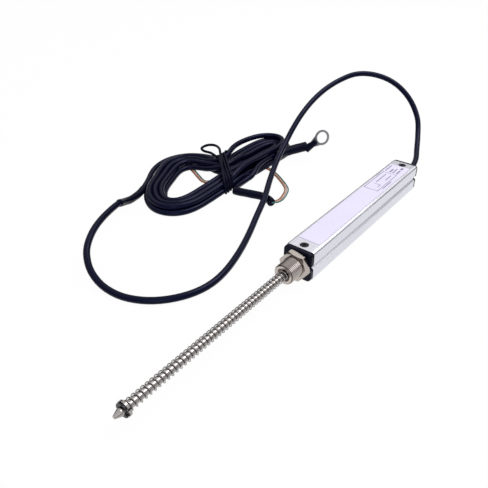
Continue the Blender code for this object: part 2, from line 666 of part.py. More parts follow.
def make_track_board():
    half = BOARD_WIDTH / 2
    section = [(half, 0), (half, BOARD_THICKNESS), (-half, BOARD_THICKNESS), (-half, 0)]
    plate("track_board", [section], BOARD_FRONT - BOARD_REAR, "board", (BOARD_REAR, 0, BOARD_BOTTOM))


def make_lead_wires():
    """Three leads from the cable's end down to the board's solder pads."""
    start = CABLE_INNER_END + SEAT_GAP
    pad = BOARD_TOP + SEAT_GAP + LEAD_RADIUS
    for index, finish in enumerate(("brown", "pink", "green")):
        points = []
        for step in range(LEAD_STEPS + 1):
            run = step / LEAD_STEPS
            ease = run * run * (3 - 2 * run)
            height = AXIS_HEIGHT + (pad - AXIS_HEIGHT) * ease
            spacing = LEAD_EXIT_SPACING + (LEAD_PAD_SPACING - LEAD_EXIT_SPACING) * run
            points.append((start + LEAD_DROP_RUN * run, (index - 1) * spacing, height))
        tube(f"lead_wire_{finish}", points, LEAD_RADIUS, finish)


def make_cable():
    """The loose cable, from inside the rear cap to the sleeve before the hank."""
    length = COLLAR_RING_LENGTH
    inner = CABLE_RADIUS + SEAT_GAP
    ring = [(inner, length), (COLLAR_RING_RADIUS, length), (COLLAR_RING_RADIUS, 0), (inner, 0)]
    ring_back = HOUSING_REAR + REAR_PLUG - SEAT_GAP - length
    turned("cable_crimp_ring", ring, "nickel", (ring_back, 0, AXIS_HEIGHT), steps=24, closed=True)
    inside = [(station / MM, 0, AXIS_HEIGHT / MM) for station in (CABLE_INNER_END, REAR_FACE - CABLE_RADIUS)]
    points = smooth_route(inside + CABLE_ROUTE, CABLE_POINT_SPACING)
    tube("cable", points, CABLE_RADIUS, "cable")
    sleeves = (("cable_sleeve", CABLE_SLEEVE_ROUTE, SLEEVE_RADIUS),
               ("signal_sleeve", SIGNAL_SLEEVE_ROUTE, SIGNAL_SLEEVE_RADIUS))
    for name, route, radius in sleeves:
        tube(name, smooth_route(route, SLEEVE_POINT_SPACING), radius, "sleeve")


def make_core_wires():
    """The three signal cores, side by side: they leave the sleeve and run under the hank."""
    middle = smooth_route(CORE_ROUTE, CORE_POINT_SPACING)
    for index, finish in enumerate(("brown", "pink", "green")):
        points = []
        for step, here in enumerate(middle):
            ahead = middle[min(step + 1, len(middle) - 1)] - middle[max(step - 1, 0)]
            ahead.z = 0
            side = ahead.normalized().cross(Vector((0, 0, 1)))
            points.append(here + side * (index - 1) * CORE_SPACING)
        tube(f"core_wire_{finish}", points, CORE_RADIUS, finish)


def make_hank():
    """The tied hank as one flat solid, with a slot under its waist for the tie."""
    outlines = [flat_outline(outline, HANK_POINT_SPACING) for outline in (HANK_OUTLINE, HANK_HOLE)]
    hank = plate("cable_hank", outlines, HANK_TOP - HANK_BOTTOM, "cable", (0, 0, HANK_BOTTOM),
                 turn=(0, 0, 0), edge=HANK_EDGE)
    slot_half = TIE_RADIUS * 2 * TIE_TURNS
    reach = 3 * WAIST_HALF_WIDTH
    slot = [(reach, slot_half), (-reach, slot_half), (-reach, -slot_half), (reach, -slot_half)]
    height = TIE_LOW + TIE_RADIUS + SEAT_GAP
    cutter = plate("cable_hank_slot", [slot], 2 * height, place=WAIST_CENTRE - Vector((0, 0, height)),
                   turn=(0, 0, WAIST_ANGLE))
    boolean(hank, cutter)
    shade(hank)


def make_tie():
    """Two turns of round tie wire pulled tight round the hank's waist."""
    half_width = WAIST_HALF_WIDTH + TIE_STANDOFF + TIE_RADIUS
    high = HANK_TOP + 2 * SEAT_GAP + TIE_RADIUS
    turn = Matrix.Rotation(WAIST_ANGLE, 3, "Z")
    points = []
    total = TIE_TURNS * TIE_POINTS_PER_TURN
    for step in range(total):
        angle = tau * step / TIE_POINTS_PER_TURN + pi / 2
        across, up = cos(angle), sin(angle)
        bulge = max(abs(across), abs(up)) ** TIE_SQUARENESS
        along = (step / total - 0.5) * TIE_TURNS * (2 * TIE_RADIUS + 2 * SEAT_GAP)
        local = Vector((half_width * across / bulge, along, 0))
        point = WAIST_CENTRE + turn @ local
        point.z = (TIE_LOW + high) / 2 + (high - TIE_LOW) / 2 * up / bulge
        points.append(point)
    tube("hank_tie", points, TIE_RADIUS, "sleeve")


def make_ring_terminal():
    """A crimp ring terminal whose tongue widens into the ring, with its lead's sleeve."""
    level = Vector((0, 1, 0))
    along = level * cos(RING_CLIMB) + RING_NORMAL.cross(level) * sin(RING_CLIMB)
    frame = Matrix((along, RING_NORMAL.cross(along), RING_NORMAL)).transposed()
    turn = frame.to_euler()
    centre = RING_CENTRE
    half = TONGUE_WIDTH / 2
    start = atan2(half, RING_OUTER_RADIUS)
    steps = 28
    rim = [-pi + 2 * start + step * (tau - 4 * start) / steps for step in range(steps + 1)]
    arc = [(RING_OUTER_RADIUS * cos(angle), RING_OUTER_RADIUS * sin(angle)) for angle in rim]
    outline = arc + [(-TONGUE_LENGTH, half), (-TONGUE_LENGTH, -half)]
    round_hole = [step * tau / steps for step in range(steps)]
    hole = [(RING_HOLE_RADIUS * cos(angle), RING_HOLE_RADIUS * sin(angle)) for angle in round_hole]
    back = centre - RING_NORMAL * RING_THICKNESS / 2
    terminal = plate("ring_terminal", [outline, hole], RING_THICKNESS, "tinned", back, turn=turn)
    barrel = bpy.data.meshes.new("ring_barrel")
    work = bmesh.new()
    bmesh.ops.create_cone(work, cap_ends=True, segments=20, radius1=BARREL_RADIUS, radius2=BARREL_RADIUS,
                          depth=BARREL_LENGTH, matrix=Matrix.Rotation(pi / 2, 4, "Y"))
    work.to_mesh(barrel)
    work.free()
    barrel_centre = centre - along * (TONGUE_LENGTH + BARREL_LENGTH / 2 - RING_THICKNESS)
    boolean(terminal, add_object("ring_barrel", barrel, place=barrel_centre, turn=turn), "UNION")
    shade(terminal)
    sleeve_end = centre - along * (TONGUE_LENGTH + BARREL_LENGTH - RING_THICKNESS + SEAT_GAP)
    lead_in = sleeve_end - along * SLEEVE_LEAD_IN
    route = RING_SLEEVE_ROUTE + [tuple(lead_in / MM), tuple(sleeve_end / MM)]
    tube("ring_sleeve", smooth_route(route, SLEEVE_POINT_SPACING), RING_SLEEVE_RADIUS, "sleeve")


def make_label():
    half = HOUSING_SIDE / 2 - LABEL_SIDE_MARGIN
    front = HOUSING_FRONT - LABEL_FRONT_MARGIN
    rear = HOUSING_REAR + LABEL_REAR_MARGIN
    corners = ((front, half, 0), (rear, half, 1), (rear, -half, 2), (front, -half, 3))
    outline = []
    for along, across, quarter in corners:
        inward = (along - (LABEL_CORNER if along > 0 else -LABEL_CORNER),
                  across - (LABEL_CORNER if across > 0 else -LABEL_CORNER))
        for step in range(4):
            angle = (quarter + step / 3) * pi / 2
            outline.append((inward[0] + LABEL_CORNER * cos(angle), inward[1] + LABEL_CORNER * sin(angle)))
    plate("label", [outline], LABEL_THICKNESS, "label", (0, 0, HOUSING_SIDE + LABEL_LIFT), turn=(0, 0, 0))


def make_rod_carrier():
    """The empty that carries everything that slides with the rod, on the joint's axis."""
    carrier = bpy.data.objects.new("rod_slide", None)
    carrier.location = (0, 0, AXIS_HEIGHT)
    PARTS.objects.link(carrier)
    return carrier


def main():
    carrier = make_rod_carrier()
    make_housing()
    make_caps()
    make_cap_screws()
    make_label()
    make_bushing()
    make_lock_nut()
    make_push_rod(carrier)
    make_washer(carrier)
    make_clips(carrier)
    make_spring()
    make_carriage(carrier)
    make_wipers(carrier)
    make_track_board()
    make_lead_wires()
    make_cable()
    make_core_wires()
    make_hank()
    make_tie()
    make_ring_terminal()


main()
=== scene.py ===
# %% [markdown]
# A spring return linear potentiometer, dressed for a portrait.
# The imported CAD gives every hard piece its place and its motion, so this lesson adds what CAD leaves out:
# a cable with its tied hank, a real thread, a finely drawn spring, the print on the label, and finishes.
# All lengths are metres. +X runs along the rod to its tip, +Z is up, and the housing lies on z = 0.

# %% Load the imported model
import json
from math import ceil, cos, degrees, pi, radians, sin, tau

import bmesh
import bpy
import numpy as np
from mathutils import Matrix, Vector


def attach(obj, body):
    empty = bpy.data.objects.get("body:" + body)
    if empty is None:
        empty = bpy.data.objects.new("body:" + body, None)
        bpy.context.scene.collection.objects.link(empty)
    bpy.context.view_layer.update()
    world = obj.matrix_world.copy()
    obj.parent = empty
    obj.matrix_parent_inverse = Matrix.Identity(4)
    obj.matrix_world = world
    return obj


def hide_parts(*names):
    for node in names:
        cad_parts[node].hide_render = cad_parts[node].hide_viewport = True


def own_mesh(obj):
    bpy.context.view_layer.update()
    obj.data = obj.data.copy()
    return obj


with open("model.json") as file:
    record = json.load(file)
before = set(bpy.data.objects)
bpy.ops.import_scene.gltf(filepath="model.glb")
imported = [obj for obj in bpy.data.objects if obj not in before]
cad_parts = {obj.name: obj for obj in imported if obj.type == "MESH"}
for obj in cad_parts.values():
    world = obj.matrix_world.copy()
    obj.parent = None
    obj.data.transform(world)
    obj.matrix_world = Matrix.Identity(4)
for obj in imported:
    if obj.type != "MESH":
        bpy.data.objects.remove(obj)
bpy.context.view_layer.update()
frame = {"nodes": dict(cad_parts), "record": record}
MM = 0.001
BODY = "sensor_body"
ROD = "rod_assembly"

# %% [markdown]
# Colours are written the way a paint chart gives them, as sRGB hex, and turned to linear light by one
# function. Every node of every tree is added by one other function, so a finish reads like a recipe.

# %% Helpers for colours and nodes


def linear(hex_colour):
    """An sRGB hex colour as linear light, with full alpha."""
    channels = [int(hex_colour[i:i + 2], 16) / 255 for i in (1, 3, 5)]
    return tuple(c / 12.92 if c <= 0.04045 else ((c + 0.055) / 1.055) ** 2.4 for c in channels) + (1.0,)


def add_node(tree, kind, inputs=None, **settings):
    """Add a node; inputs maps a socket's name or number to a value or to another node's output."""
    node = tree.nodes.new(kind)
    for name, value in settings.items():
        setattr(node, name, value)
    for key, value in (inputs or {}).items():
        socket = node.inputs[key]
        if isinstance(value, bpy.types.NodeSocket):
            tree.links.new(value, socket)
        else:
            socket.default_value = value
    return node


def new_finish(name, roughness, metallic=0.0, **sockets):
    """A material with its shader; uniform values are set on the shader's own sockets."""
    finish = bpy.data.materials.new(name)
    finish.use_nodes = True
    shader = finish.node_tree.nodes["Principled BSDF"]
    shader.inputs["Roughness"].default_value = roughness
    shader.inputs["Metallic"].default_value = metallic
    for socket, value in sockets.items():
        shader.inputs[socket.replace("_", " ").title().replace("Ior", "IOR")].default_value = value
    return finish, finish.node_tree, shader


def place_of(tree, stretch=(1, 1, 1)):
    """Object coordinates in millimetres, stretched so that a pattern can run along one way."""
    coordinates = add_node(tree, "ShaderNodeTexCoord")
    scale = tuple(1 / MM / s for s in stretch)
    mapped = add_node(tree, "ShaderNodeMapping", {"Vector": coordinates.outputs["Object"], "Scale": scale})
    return mapped.outputs["Vector"]


def grain(tree, vector, size_mm, detail=2.0):
    """Noise whose lumps are about size_mm across."""
    return add_node(tree, "ShaderNodeTexNoise", {"Vector": vector, "Scale": 1 / size_mm, "Detail": detail})


def blend_colours(tree, factor, first, second):
    """A colour that runs from one hex colour to another."""
    mixed = add_node(tree, "ShaderNodeMix", {"Factor": factor}, data_type="RGBA")
    mixed.inputs["A"].default_value = linear(first)
    mixed.inputs["B"].default_value = linear(second)
    return mixed.outputs["Result"]


def span(tree, value, low, high, new_low, new_high):
    """Map a value from one range to another."""
    made = add_node(tree, "ShaderNodeMapRange", {"Value": value, "From Min": low, "From Max": high,
                                                 "To Min": new_low, "To Max": new_high})
    return made.outputs["Result"]


def relief(tree, height, depth_mm, shader):
    """Bump of a real depth in millimetres."""
    bump = add_node(tree, "ShaderNodeBump", {"Height": height, "Distance": depth_mm * MM, "Strength": 1.0})
    tree.links.new(bump.outputs["Normal"], shader.inputs["Normal"])


print("white is", [round(c, 3) for c in linear("#FFFFFF")])

# %% [markdown]
# The camera stands where the photographer stood: 34 degrees above the bench, a little over 0.3 m in front of
# the rod. The bench is white and takes only a soft shadow, so its colour is lifted for camera, glossy and
# transmission rays alone, while the object is lit at a plain level.

# %% Camera
CAMERA_PLACE = Vector((0.27896, 0.12683, 0.18635))
CAMERA_PITCH = radians(33.996)
CAMERA_HEADING = radians(217.8195)
CAMERA_ROLL = radians(0.114)
forward = Vector((cos(CAMERA_PITCH) * cos(CAMERA_HEADING), cos(CAMERA_PITCH) * sin(CAMERA_HEADING),
                  -sin(CAMERA_PITCH)))
level = Vector((sin(CAMERA_HEADING), -cos(CAMERA_HEADING), 0))
right = level * cos(CAMERA_ROLL) + level.cross(forward) * sin(CAMERA_ROLL)
upward = right.cross(forward)
camera_data = bpy.data.cameras.new("portrait")
camera_data.lens = 40.893
camera_data.sensor_width = 36
camera_data.clip_start = 0.01
camera = bpy.data.objects.new("portrait", camera_data)
bpy.context.scene.collection.objects.link(camera)
camera_turn = Matrix((right, upward, -forward)).transposed().to_4x4()
camera.matrix_world = Matrix.Translation(CAMERA_PLACE) @ camera_turn
bpy.context.scene.camera = camera
print("camera looks", [round(v, 3) for v in forward])

# %% Bench and light


def area_lamp(name, place, target, size, watts, colour):
    """A soft square lamp that looks at a point."""
    data = bpy.data.lights.new(name, "AREA")
    data.shape = "SQUARE"
    data.size = size
    data.energy = watts
    data.color = linear(colour)[:3]
    lamp = bpy.data.objects.new(name, data)
    bpy.context.scene.collection.objects.link(lamp)
    lamp.location = place
    lamp.rotation_euler = (Vector(target) - Vector(place)).to_track_quat("-Z", "Y").to_euler()
    return lamp


def seen_directly(tree):
    """1 for camera, glossy and transmission rays, 0 for the light that falls on the object."""
    path = add_node(tree, "ShaderNodeLightPath")
    lit = path.outputs["Is Camera Ray"]
    for ray in ("Is Glossy Ray", "Is Transmission Ray"):
        lit = add_node(tree, "ShaderNodeMath", {0: lit, 1: path.outputs[ray]}, operation="MAXIMUM").outputs[0]
    return lit


BENCH_REACH = 4
BENCH_DROP = 0.0001
# The share of the paper's look that is plain white, and what is left of it shows the object's shadow.
PAPER_GLOW = 0.97
bench_mesh = bpy.data.meshes.new("bench")
corners = [(x * BENCH_REACH, y * BENCH_REACH, 0) for x, y in ((-1, -1), (1, -1), (1, 1), (-1, 1))]
bench_mesh.from_pydata(corners, [], [(0, 1, 2, 3)])
bench = bpy.data.objects.new("bench", bench_mesh)
bpy.context.scene.collection.objects.link(bench)
bench.location.z = -BENCH_DROP
paper, tree, shader = new_finish("white_paper_sweep", 0.9)
shader.inputs["Base Color"].default_value = linear("#F2F2F2")
glow = add_node(tree, "ShaderNodeEmission", {"Color": linear("#FFFFFF"), "Strength": 1.0})
share = add_node(tree, "ShaderNodeMath", {0: seen_directly(tree), 1: PAPER_GLOW}, operation="MULTIPLY")
lifted = add_node(tree, "ShaderNodeMixShader",
                  {"Fac": share.outputs[0], 1: shader.outputs[0], 2: glow.outputs[0]})
tree.links.new(lifted.outputs[0], tree.nodes["Material Output"].inputs["Surface"])
bench_mesh.materials.append(paper)

world = bpy.data.worlds.new("studio")
bpy.context.scene.world = world
world.use_nodes = True
tree = world.node_tree
sky = tree.nodes["Background"]
sky.inputs["Color"].default_value = linear("#FFFFFF")
# Studio metal is drawn by what it mirrors, so a dark band stands round the horizon, for mirrored rays alone.
HORIZON_BAND = (0.25, 0.6)
BAND_LIGHT = 0.06
FILL_LIGHT = 0.6
sky_way = add_node(tree, "ShaderNodeTexCoord").outputs["Generated"]
direction = add_node(tree, "ShaderNodeSeparateXYZ", {0: sky_way})
band = span(tree, direction.outputs["Z"], *HORIZON_BAND, BAND_LIGHT, 1.0)
mirrored = add_node(tree, "ShaderNodeLightPath").outputs["Is Glossy Ray"]
shade = add_node(tree, "ShaderNodeMix", {"Factor": mirrored, "A": 1.0, "B": band}, data_type="FLOAT")
strength = add_node(tree, "ShaderNodeMath", {0: span(tree, seen_directly(tree), 0, 1, FILL_LIGHT, 1.0),
                                             1: shade.outputs["Result"]}, operation="MULTIPLY")
tree.links.new(strength.outputs[0], sky.inputs["Strength"])
area_lamp("window", place=(-0.35, 0.1, 0.75), target=(0.0, -0.03, 0.0), size=0.5, watts=3.9,
          colour="#FFFCFA")
area_lamp("front_fill", place=(0.75, 0.5, 0.35), target=(0.05, 0.0, 0.0), size=0.5, watts=1.7,
          colour="#FAF9FF")
bpy.context.scene.view_settings.view_transform = "Standard"
print("bench and two lamps are set")

# %% [markdown]
# The cable comes first, because it decides how much room the whole object takes. It is a 4 mm jacketed
# cable, about three metres long. It leaves the rear cap, swings wide, and most of it is wound into a hank.
# A hank is easiest to think of as a loop pinched in the middle: every turn passes two lobes and one waist.
# So the turns are laid on stations round that loop, each strand in its own slot of the bundle, and then
# strands that lie in each other are pushed apart, the way real strands settle.

# %% Routes of the cable, in millimetres
CABLE_RADIUS = 2.0 * MM
CABLE_INSIDE = [(-60.4, 0, 9), (-70, 0, 9)]
CABLE_ROUTE = [
    (-82, 0, 9), (-94, -2.5, 10), (-105, -7, 12.5), (-118.5, -13, 18), (-127.5, -18.5, 26),
    (-133, -26, 34), (-135, -34, 41), (-134.5, -43, 47), (-132.5, -53, 51), (-128, -64, 53),
    (-120, -72.5, 53), (-109, -79, 50), (-95, -83, 46), (-80, -85, 40.5), (-65, -85, 34),
    (-52, -84, 27), (-40, -82, 20.5), (-22.5, -77, 14.5), (-2, -68.5, 10), (19, -58, 7.9),
    (37, -51, 5), (54.5, -44, 2.8), (72, -37.5, 2.2), (89.5, -32.5, 2.2), (103.5, -31, 2.2),
    (115, -33, 2.2), (125, -38, 2.2), (133, -45, 2.2), (138.5, -53.5, 2.2), (141.5, -63.5, 2.2),
    (142, -75, 3.2), (140, -85.5, 6), (135.5, -94, 9), (129.5, -100.5, 11.5), (120, -107, 13.5),
    (109.5, -112.5, 14), (98, -117.5, 13.5), (87.3, -121.9, 12.1),
]
CABLE_SLEEVE_ROUTE = [(87, -122, 12), (79, -126.5, 8), (70.8, -130, 4.8), (61, -133.5, 3.2),
                      (52.5, -137.5, 2.6)]
# Slots of the turns in a bundle, the first turn first: how many strands out from the bundle's middle, and in
# which layer above the bench. The first turns fill the lowest layer from outside in, and the others lie on
# them. FLAT is the plain band, CORNER and SPREAD are the wide far side of the left lobe, TOPPED has one turn
# that rides on top, and WAIST and PINCHED are the two halves under the tie.
FLAT = [(1.5, 0), (0.5, 0), (-0.5, 0), (-1.5, 0), (-1, 1), (0, 1), (1, 1)]
CORNER = [(1.9, 0), (0.9, 0), (-0.1, 0), (-1.1, 0), (-2.1, 0), (-1.6, 1), (-0.6, 1), (0.4, 1)]
SPREAD = [(2.3, 0), (1.15, 0), (0, 0), (-1.15, 0), (-2.3, 0), (-1.7, 0.9), (-0.6, 0.9), (0.6, 0.9)]
TOPPED = FLAT[:6] + [(0.5, 2), (1, 1)]
WAIST = [(3.4, 0), (2.4, 0), (1.4, 0), (0.4, 0.2), (0.9, 1.2), (1.9, 1.1), (2.8, 2.5), (2.9, 1)]
PINCHED = [(3.4, 0), (2.4, 0), (1.4, 0), (0.4, 0.2), (0.9, 1.2), (1.9, 1.1), (2.9, 1)]
AWAY = (-0.707, -0.707)
TOWARDS = (0.707, 0.707)
# Each station of the loop: the bundle's middle, the strand spacing, the slots and how far the bundle is
# lifted. A station may also fix the way across the bundle, and the places of single turns.
FAR_LEFT = [
    ((37, -137.5), 4.1, CORNER, 0), ((25, -144), 4.2, SPREAD, 0), ((12, -148), 4.2, SPREAD, 0),
    ((0, -144), 4.2, SPREAD, 0), ((-5, -133), 4.1, SPREAD, 0.5), ((-4, -121), 4.0, SPREAD, 1.5),
]
WAIST_FAR = [((2.5, -103.5), 4.3, WAIST, 1.8, AWAY)]
FAR_RIGHT = [
    ((-14, -112), 4.1, TOPPED, 1, None, {6: (-15, -115.5, 12.5)}),
    ((-25, -113.6), 4.1, TOPPED, 0.4, None, {6: (-26, -120, 11.5)}),
    ((-38, -114.4), 4.1, TOPPED, 0, None, {6: (-38, -122, 10.5)}),
    ((-52, -114), 4.1, TOPPED, 0, None, {6: (-51, -121, 10)}),
]
RIGHT_END = [((-62, -111), 4, TOPPED, 0, None, {6: (-61, -117.5, 9.6)}),
             ((-66, -105), 4, TOPPED, 0, None, {6: (-67, -109, 9.4)}),
             ((-62, -99.5), 4, TOPPED, 0, None, {6: (-64, -101, 9.2)})]
NEAR_RIGHT = [((-51, -98), 4.05, TOPPED, 0), ((-36, -98.2), 4.05, TOPPED, 0),
              ((-20, -98.2), 4.05, TOPPED, 0, None, {7: (-20, -92.3, 5)}),
              ((-7, -98.2), 4.1, TOPPED, 0.5, None, {7: (-8, -90, 3)})]
WAIST_NEAR = [((2.5, -103.5), 4.3, PINCHED, 1, TOWARDS)]
NEAR_LEFT = [((20, -97.8), 4.1, FLAT, 0.6), ((32, -98), 4.1, FLAT, 0), ((45, -97.5), 4.05, FLAT, 0),
             ((55, -99.5), 4, FLAT, 0)]
LEFT_END = [((61.3, -106), 3.95, FLAT, 0), ((60.8, -113), 3.95, FLAT, 0), ((56.5, -120.5), 3.95, FLAT, 0),
            ((48.5, -129.5), 4, FLAT, 0)]
LOOP = FAR_LEFT + WAIST_FAR + FAR_RIGHT + RIGHT_END + NEAR_RIGHT + WAIST_NEAR + NEAR_LEFT + LEFT_END
LAST_STOP = len(LOOP) - len(WAIST_NEAR + NEAR_LEFT + LEFT_END)
HANK_TURNS = 8
LAYER_RISE = 3.5
LOWEST_STRAND = 2.1
STRAND_STEP = 2.5
WAY_IN = CABLE_SLEEVE_ROUTE[1:]
WAY_OUT = [(0, -89.6, 2.4), (7, -89, 2.4), (12.5, -87.2, 2.8), (15.2, -83.5, 3)]
print("free stretch points:", len(CABLE_ROUTE), "stations a turn:", len(LOOP))

# %% Smooth curves and settling strands


def smooth_route(route, spacing):
    """Points about spacing apart on a smooth curve through the route, both in millimetres."""
    knots = [Vector(knot) for knot in route]
    last = len(knots) - 1
    points = []
    for index in range(last):
        before, start, end, after = [knots[min(max(index + shift, 0), last)] for shift in (-1, 0, 1, 2)]
        count = max(1, ceil((end - start).length / spacing))
        for step in range(count):
            t = step / count
            square = (2 * before - 5 * start + 4 * end - after) * t**2
            cube = (3 * start - before - 3 * end + after) * t**3
            points.append(0.5 * (2 * start + (end - before) * t + square + cube))
    points.append(knots[-1])
    return points


def hank_knots():
    """The stations of all turns, one after the other, with every strand in its slot."""
    knots = []
    middles = [Vector(station[0]) for station in LOOP]
    for turn in range(HANK_TURNS):
        stations = LOOP[:LAST_STOP] if turn == HANK_TURNS - 1 else LOOP
        for index, (middle, spacing, slots, lift, *more) in enumerate(stations):
            across, singles = (more + [None, None])[:2]
            if singles and turn in singles:
                knots.append(Vector(singles[turn]))
                continue
            ahead = (middles[(index + 1) % len(LOOP)] - middles[index - 1]).normalized()
            outward = Vector(across) if across else Vector((-ahead.y, ahead.x))
            place = middles[index] + outward * slots[turn][0] * spacing
            knots.append(Vector((place.x, place.y, LOWEST_STRAND + lift + LAYER_RISE * slots[turn][1])))
    return knots


# How much of an overlap one round takes away, and how firm the strands are in the last rounds.
PUSH_SHARE = 0.45
LAST_FIRMNESS = 0.15


def settle(points, fixed, rounds, firm, loyal, neighbours, last_rounds=0):
    """Push strands apart until they touch, while each stays as straight and as near its place as it can."""
    diameter = 2 * CABLE_RADIUS / MM
    place = np.array([list(point) for point in points])
    home = place.copy()
    order = np.arange(len(place))
    other_strand = np.abs(order[:, None] - order[None, :]) > neighbours
    for step in range(rounds + last_rounds):
        gap = place[:, None, :] - place[None, :, :]
        distance = np.sqrt((gap ** 2).sum(-1)) + 1e-9
        touching = (distance < diameter) & other_strand
        push = np.where(touching, PUSH_SHARE * (diameter - distance) / distance, 0)
        move = (gap * push[:, :, None]).sum(1)
        bend = np.zeros_like(place)
        bend[2:-2] = (4 * (place[1:-3] + place[3:-1]) - place[:-4] - place[4:] - 6 * place[2:-2]) / 16
        move += bend * firm + (home - place) * loyal if step < rounds else bend * LAST_FIRMNESS
        move[:fixed] = 0
        move[-fixed:] = 0
        place = place + move
        place[:, 2] = np.maximum(place[:, 2], LOWEST_STRAND)
    return [Vector(point) for point in place.tolist()]


# %% [markdown]
# Settling happens twice: first with few points, which straightens long waves out of each strand, and then
# with many, which parts the strands. The last strand leaves the bundle beside the waist and ends in the
# shrink sleeve where the three cores come out.

# %% The whole cable as one line
SIGNAL_SLEEVE_ROUTE = [(16, -86, 3), (15.4, -82, 3), (13.2, -74, 3), (11, -66, 3), (12, -59.5, 3),
                       (14.3, -55.5, 3)]
FREE_STEP = 4.0
COARSE_STEP = 6.0
JOIN_SEARCH = 20
free_points = smooth_route(CABLE_INSIDE + CABLE_ROUTE + CABLE_SLEEVE_ROUTE[1:], FREE_STEP)
coarse = smooth_route(WAY_IN + hank_knots() + WAY_OUT, COARSE_STEP)
coarse = settle(coarse, fixed=5, rounds=60, firm=1.0, loyal=0.035, neighbours=2)
hank_points = smooth_route(coarse, STRAND_STEP)
hank_points = settle(hank_points, fixed=12, rounds=50, firm=0.9, loyal=0.01, neighbours=4, last_rounds=10)
# The hank's line starts inside the free stretch, which hands over where the two meet.
joined = min(range(JOIN_SEARCH), key=lambda index: (hank_points[index] - free_points[-1]).length)
cable_points = [point * MM for point in free_points[:-2] + hank_points[joined + 1:]]


# %% Skins round a line


def swept(name, points, radius_at, sides=28, closed=False):
    """A skin round a line, whose radius may change along it; ends are closed."""
    mesh = bpy.data.meshes.new(name)
    work = bmesh.new()
    count = len(points)
    side = None
    rings = []
    for index, point in enumerate(points):
        if closed:
            ahead = points[(index + 1) % count] - points[index - 1]
        else:
            ahead = points[min(index + 1, count - 1)] - points[max(index - 1, 0)]
        ahead.normalize()
        if side is None:
            side = ahead.orthogonal().normalized()
        side = (side - ahead * side.dot(ahead)).normalized()
        other = ahead.cross(side)
        ring = []
        for corner in range(sides):
            angle = tau * corner / sides
            reach = radius_at(index / max(count - 1, 1), angle)
            ring.append(work.verts.new(point + (side * cos(angle) + other * sin(angle)) * reach))
        rings.append(ring)
    pairs = zip(rings, rings[1:] + ([rings[0]] if closed else []))
    for first, second in pairs:
        for corner in range(sides):
            after = (corner + 1) % sides
            work.faces.new((first[corner], first[after], second[after], second[corner]))
    if not closed:
        work.faces.new(list(reversed(rings[0])))
        work.faces.new(rings[-1])
    bmesh.ops.recalc_face_normals(work, faces=work.faces)
    work.to_mesh(mesh)
    work.free()
    mesh.shade_smooth()
    mesh.set_sharp_from_angle(angle=radians(50))
    item = bpy.data.objects.new(name, mesh)
    bpy.context.scene.collection.objects.link(item)
    return item


cable_skin = swept("sensor_cable", cable_points, lambda share, angle: CABLE_RADIUS, sides=24)
print("cable skin:", len(cable_skin.data.polygons), "faces")

# %% [markdown]
# Three thin cores leave the signal sleeve side by side, swing round and run under the hank.

# %% Core wires
CORE_RADIUS = 0.5 * MM
CORE_SPACING = 1.2
CORE_ROUTE = [
    (13.2, -57, 3), (11, -54, 3), (6.5, -53.2, 3), (-1.3, -55.3, 3), (-8, -58.6, 2.6), (-13.5, -64, 2),
    (-18.5, -70, 1.2), (-22.8, -75.6, 0.6), (-26.4, -82, 0.6), (-29.6, -89, 0.6), (-28, -97, 0.6),
    (-17, -103, 0.6), (0, -107, 0.6), (13, -110.5, 0.6),
    (15.5, -115, 0.6), (12, -123, 0.6), (7, -133, 0.6), (3, -145, 0.6),
]
middle = smooth_route(CORE_ROUTE, 2.5)
core_wires = {}
for index, colour in enumerate(("brown", "pink", "green")):
    points = []
    for step, here in enumerate(middle):
        ahead = middle[min(step + 1, len(middle) - 1)] - middle[max(step - 1, 0)]
        ahead.z = 0
        side = ahead.normalized().cross(Vector((0, 0, 1)))
        points.append((here + side * (index - 1) * CORE_SPACING) * MM)
    core_wires[colour] = swept(f"core_{colour}", points, lambda share, angle: CORE_RADIUS, sides=12)

# %% [markdown]
# The sleeves are shrink tube. Shrunk tube follows what is under it, so its radius wavers a little and its
# ends turn in. The ring lead's sleeve meets a small boot on the crimped barrel of the ring terminal.

# %% Shrink sleeves
RING_CENTRE = Vector((-69, -68.4, 18))
RING_NORMAL = Vector((0.88, 0, 0.475)).normalized()
RING_CLIMB = radians(49)
ring_along = Vector((0, 1, 0)) * cos(RING_CLIMB) + RING_NORMAL.cross(Vector((0, 1, 0))) * sin(RING_CLIMB)
RING_SLEEVE_ROUTE = [(-42, -90.4, 6), (-51.2, -89.8, 6.4), (-60, -85.2, 7.2), (-66.8, -80, 8.6)]


def shrink_sleeve(name, route, radius, waver):
    """A sleeve with rolled-in ends and a slow waver from the lumps under it."""
    points = [point * MM for point in smooth_route(route, 0.7)]

    def radius_at(share, angle):
        roll = min(share, 1 - share) / 0.02
        edge = 1 - 0.12 * max(0.0, 1 - roll) ** 2
        lumps = sin(share * 9 + angle) * 0.6 + sin(share * 23 + 2 * angle + 1) * 0.4
        return radius * edge * (1 + waver * lumps)

    return swept(name, points, radius_at)


cable_sleeve = shrink_sleeve("joint_sleeve", CABLE_SLEEVE_ROUTE, 2.5 * MM, 0.02)
signal_sleeve = shrink_sleeve("signal_shrink", SIGNAL_SLEEVE_ROUTE, 2.8 * MM, 0.03)
ring_sleeve = shrink_sleeve("ring_shrink", RING_SLEEVE_ROUTE, 3.6 * MM, 0.03)
BOOT_START = RING_CENTRE - ring_along * 15.5
BOOT_END = RING_CENTRE - ring_along * 5.2
BOOT_STEPS = 14
BOOT_RADIUS = 3.1
BOOT_TAPER = 0.9
boot_line = [BOOT_START.lerp(BOOT_END, step / BOOT_STEPS) * MM for step in range(BOOT_STEPS + 1)]
ring_boot = swept("ring_boot", boot_line,
                  lambda share, angle: (BOOT_RADIUS - BOOT_TAPER * min(1, share * 1.3)) * MM)
print("three sleeves and a boot")

# %% [markdown]
# The tie is a soft round twist wire: four turns pulled tight round the waist, and the spare end left standing
# in a small loop. Its turns follow the strands they hold, so the outline is measured from the settled cable.

